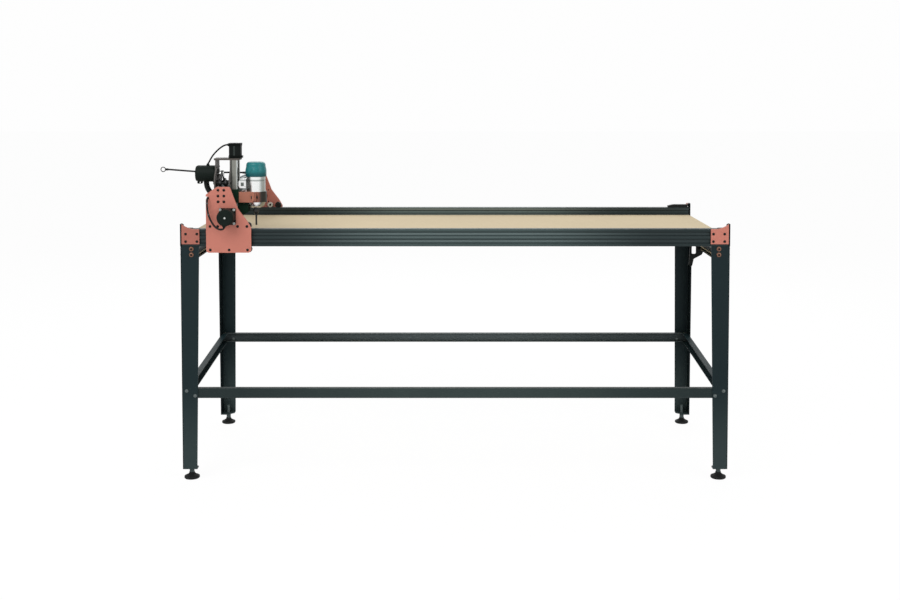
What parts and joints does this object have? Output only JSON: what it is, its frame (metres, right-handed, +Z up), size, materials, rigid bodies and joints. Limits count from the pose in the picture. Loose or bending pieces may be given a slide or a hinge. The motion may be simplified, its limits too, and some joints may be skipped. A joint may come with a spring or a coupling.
{
  "type": "gantry router table",
  "caption": "Gantry router table: a trim router on a belt-driven carriage and beam that run along two slotted rails over a board, on a tall stand with folded legs and levelling feet.",
  "frame": {"origin": "on the floor, under the middle of the stand", "axes": "+X along the rails, away from the end where the gantry stands; +Y from the front to the back; +Z up"},
  "size_m": [1.9903, 0.903, 1.167],
  "materials": {
    "salmon_plate": "satin powder coat",
    "clamp_salmon": "satin powder coat",
    "rail_black": "black anodised",
    "powder_black": "satin powder coat",
    "sheet_black": "satin powder coat",
    "motor_black": "semi-gloss paint",
    "black_plastic": "matt",
    "rubber": "matt",
    "black_steel": "black oxide",
    "copper_steel": "yellow chromate",
    "polished": "brushed",
    "steel": "brushed",
    "board": "sanded fibreboard",
    "teal_plastic": "semi-gloss"
  },
  "bodies": {
    "stand": {"rail_front": "rail_black", "rail_back": "rail_black", "cross_beams": "powder_black", "spoilboard": "board", "corner_plates": "salmon_plate", "end_plates": "sheet_black", "leg_front_left": "powder_black", "leg_front_right": "powder_black", "leg_back_left": "powder_black", "leg_back_right": "powder_black", "stretcher_front": "powder_black", "stretcher_back": "powder_black", "side_rails": "powder_black", "frame_screws": "black_steel", "leg_bolts": "copper_steel", "bed_belts": "rubber", "belt_anchors": "sheet_black", "cable_bracket": "sheet_black"},
    "gantry": {"gantry_plate_front": "salmon_plate", "gantry_plate_back": "salmon_plate", "gantry_beam": "rail_black", "gantry_fasteners": "black_steel", "gantry_motor_front": "motor_black", "gantry_motor_back": "motor_black", "motor_cables": "rubber", "gantry_belts": "rubber"},
    "carriage": {"carriage_rear_plate": "sheet_black", "carriage_front_plate": "sheet_black", "carriage_top_plate": "sheet_black", "carriage_fasteners": "black_steel", "carriage_motor": "motor_black", "z_motor": "motor_black", "z_channel": "polished", "carriage_cables": "rubber", "carriage_belt": "rubber"},
    "z_slide": {"z_saddle": "sheet_black", "router_clamp": "clamp_salmon", "router_barrel": "polished", "router_cap": "teal_plastic", "router_lead": "rubber"},
    "foot_front_left": {"foot_front_left": "rubber"},
    "foot_front_right": {"foot_front_right": "rubber"},
    "foot_back_left": {"foot_back_left": "rubber"},
    "foot_back_right": {"foot_back_right": "rubber"},
    "wheels_top_left": {"wheels_top_left": "black_plastic"},
    "wheels_top_right": {"wheels_top_right": "black_plastic"},
    "wheels_low_left": {"wheels_low_left": "black_plastic"},
    "wheels_low_middle": {"wheels_low_middle": "black_plastic"},
    "wheels_low_right": {"wheels_low_right": "black_plastic"},
    "idlers_left": {"idlers_left": "steel"},
    "idlers_right": {"idlers_right": "steel"},
    "drive_pulleys": {"drive_pulleys": "steel"},
    "carriage_wheels_top_front": {"carriage_wheels_top_front": "black_plastic"},
    "carriage_wheels_top_back": {"carriage_wheels_top_back": "black_plastic"},
    "carriage_wheels_low_front": {"carriage_wheels_low_front": "black_plastic"},
    "carriage_wheels_low_back": {"carriage_wheels_low_back": "black_plastic"},
    "carriage_pulley": {"carriage_pulley": "steel"},
    "lead_screw": {"lead_screw": "polished"},
    "power_switch": {"power_switch": "black_plastic"},
    "collet_and_cutter": {"collet_and_cutter": "black_steel"}
  },
  "joints": [
    {"name": "foot_front_left_level", "type": "slide", "parent": "stand", "child": "foot_front_left", "axis": [0, 0, 1], "range_m": [-0.02, 0]},
    {"name": "foot_front_right_level", "type": "slide", "parent": "stand", "child": "foot_front_right", "axis": [0, 0, 1], "range_m": [-0.02, 0]},
    {"name": "foot_back_left_level", "type": "slide", "parent": "stand", "child": "foot_back_left", "axis": [0, 0, 1], "range_m": [-0.02, 0]},
    {"name": "foot_back_right_level", "type": "slide", "parent": "stand", "child": "foot_back_right", "axis": [0, 0, 1], "range_m": [-0.02, 0]},
    {"name": "gantry_slide", "type": "slide", "parent": "stand", "child": "gantry", "axis": [1, 0, 0], "range_m": [-0.015, 1.555]},
    {"name": "wheels_top_left_turn", "type": "hinge", "parent": "gantry", "child": "wheels_top_left", "pos_m": [-0.839, 0, 0.88542], "axis": [0, 1, 0], "continuous": true},
    {"name": "wheels_top_right_turn", "type": "hinge", "parent": "gantry", "child": "wheels_top_right", "pos_m": [-0.7125, 0, 0.88542], "axis": [0, 1, 0], "continuous": true},
    {"name": "wheels_low_left_turn", "type": "hinge", "parent": "gantry", "child": "wheels_low_left", "pos_m": [-0.8385, 0, 0.80458], "axis": [0, 1, 0], "continuous": true},
    {"name": "wheels_low_middle_turn", "type": "hinge", "parent": "gantry", "child": "wheels_low_middle", "pos_m": [-0.774, 0, 0.80458], "axis": [0, 1, 0], "continuous": true},
    {"name": "wheels_low_right_turn", "type": "hinge", "parent": "gantry", "child": "wheels_low_right", "pos_m": [-0.711, 0, 0.80458], "axis": [0, 1, 0], "continuous": true},
    {"name": "idlers_left_turn", "type": "hinge", "parent": "gantry", "child": "idlers_left", "pos_m": [-0.8125, 0, 0.88542], "axis": [0, 1, 0], "continuous": true},
    {"name": "idlers_right_turn", "type": "hinge", "parent": "gantry", "child": "idlers_right", "pos_m": [-0.7445, 0, 0.88542], "axis": [0, 1, 0], "continuous": true},
    {"name": "drive_pulleys_turn", "type": "hinge", "parent": "gantry", "child": "drive_pulleys", "pos_m": [-0.7785, 0, 0.91992], "axis": [0, 1, 0], "continuous": true},
    {"name": "carriage_slide", "type": "slide", "parent": "gantry", "child": "carriage", "axis": [0, 1, 0], "range_m": [-0.012, 0.62]},
    {"name": "carriage_wheels_top_front_turn", "type": "hinge", "parent": "carriage", "child": "carriage_wheels_top_front", "pos_m": [-0.8005, -0.35, 1.03042], "axis": [1, 0, 0], "continuous": true},
    {"name": "carriage_wheels_top_back_turn", "type": "hinge", "parent": "carriage", "child": "carriage_wheels_top_back", "pos_m": [-0.8005, -0.266, 1.03042], "axis": [1, 0, 0], "continuous": true},
    {"name": "carriage_wheels_low_front_turn", "type": "hinge", "parent": "carriage", "child": "carriage_wheels_low_front", "pos_m": [-0.8005, -0.35, 0.94958], "axis": [1, 0, 0], "continuous": true},
    {"name": "carriage_wheels_low_back_turn", "type": "hinge", "parent": "carriage", "child": "carriage_wheels_low_back", "pos_m": [-0.8005, -0.266, 0.94958], "axis": [1, 0, 0], "continuous": true},
    {"name": "carriage_pulley_turn", "type": "hinge", "parent": "carriage", "child": "carriage_pulley", "pos_m": [-0.8105, -0.308, 1.061], "axis": [1, 0, 0], "continuous": true},
    {"name": "z_slide", "type": "slide", "parent": "carriage", "child": "z_slide", "axis": [0, 0, 1], "range_m": [-0.033, 0.045]},
    {"name": "lead_screw_turn", "type": "hinge", "parent": "carriage", "child": "lead_screw", "pos_m": [-0.7645, -0.308, 1], "axis": [0, 0, 1], "continuous": true},
    {"name": "power_switch_slide", "type": "slide", "parent": "z_slide", "child": "power_switch", "axis": [0, 0, 1], "range_m": [0, 0.006]},
    {"name": "spindle_turn", "type": "hinge", "parent": "z_slide", "child": "collet_and_cutter", "pos_m": [-0.6937, -0.308, 0.9], "axis": [0, 0, 1], "continuous": true}
  ],
  "couplings": [
    {"joint": "wheels_top_left_turn", "follows": "gantry_slide", "rad_per_m": 95.93},
    {"joint": "wheels_top_right_turn", "follows": "gantry_slide", "rad_per_m": 95.93},
    {"joint": "wheels_low_left_turn", "follows": "gantry_slide", "rad_per_m": -95.93},
    {"joint": "wheels_low_middle_turn", "follows": "gantry_slide", "rad_per_m": -95.93},
    {"joint": "wheels_low_right_turn", "follows": "gantry_slide", "rad_per_m": -95.93},
    {"joint": "idlers_left_turn", "follows": "gantry_slide", "rad_per_m": 86.207},
    {"joint": "idlers_right_turn", "follows": "gantry_slide", "rad_per_m": 86.207},
    {"joint": "drive_pulleys_turn", "follows": "gantry_slide", "rad_per_m": -104.72},
    {"joint": "carriage_wheels_top_front_turn", "follows": "carriage_slide", "rad_per_m": -95.93},
    {"joint": "carriage_wheels_top_back_turn", "follows": "carriage_slide", "rad_per_m": -95.93},
    {"joint": "carriage_wheels_low_front_turn", "follows": "carriage_slide", "rad_per_m": 95.93},
    {"joint": "carriage_wheels_low_back_turn", "follows": "carriage_slide", "rad_per_m": 95.93},
    {"joint": "carriage_pulley_turn", "follows": "carriage_slide", "rad_per_m": 104.72},
    {"joint": "lead_screw_turn", "follows": "z_slide", "rad_per_m": 785.4}
  ]
}
